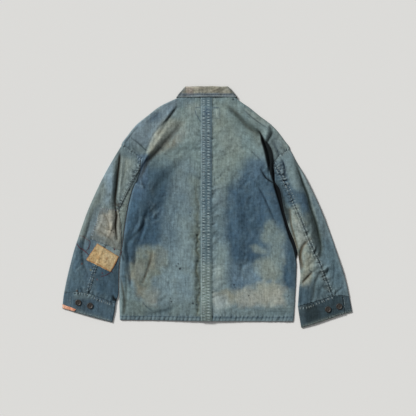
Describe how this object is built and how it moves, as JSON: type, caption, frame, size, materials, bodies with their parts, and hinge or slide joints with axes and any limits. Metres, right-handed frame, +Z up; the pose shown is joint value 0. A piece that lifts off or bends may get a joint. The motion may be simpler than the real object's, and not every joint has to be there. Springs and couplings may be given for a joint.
{
  "type": "patched boro work jacket laid flat",
  "caption": "Patched boro work jacket in faded indigo cloth, laid flat on its front with the back up, elbow and forearm mends, buttoned cuffs.",
  "frame": {"origin": "centre of the laid jacket's outline, on the surface it lies on", "axes": "+Z up out of the back, +Y from hem to collar, +X to the wearer's right sleeve as seen from above"},
  "size_m": [0.9268, 0.7723, 0.0118],
  "materials": {
    "indigo": "matt, sun-faded twill",
    "collar": "matt, worn grey twill",
    "pale_patch": "matt, wrinkled cotton",
    "tan_patch": "matt, stained cotton",
    "salmon_patch": "matt, faded cotton",
    "button": "worn satin"
  },
  "bodies": {
    "root": {"back_left": "indigo", "back_right": "indigo", "front_left": "indigo", "front_right": "indigo", "collar": "collar", "upper_sleeve_left": "indigo", "under_sleeve_left": "indigo", "upper_sleeve_right": "indigo", "under_sleeve_right": "indigo", "cuff_left": "indigo", "cuff_right": "indigo", "elbow_patch": "pale_patch", "tan_patch": "tan_patch", "cuff_edge_patch": "salmon_patch", "cuff_button_left_1": "button", "cuff_button_left_2": "button", "cuff_button_right_1": "button", "cuff_button_right_2": "button", "front_button_1": "button", "front_button_2": "button", "front_button_3": "button", "front_button_4": "button", "front_button_5": "button"}
  },
  "joints": []
}
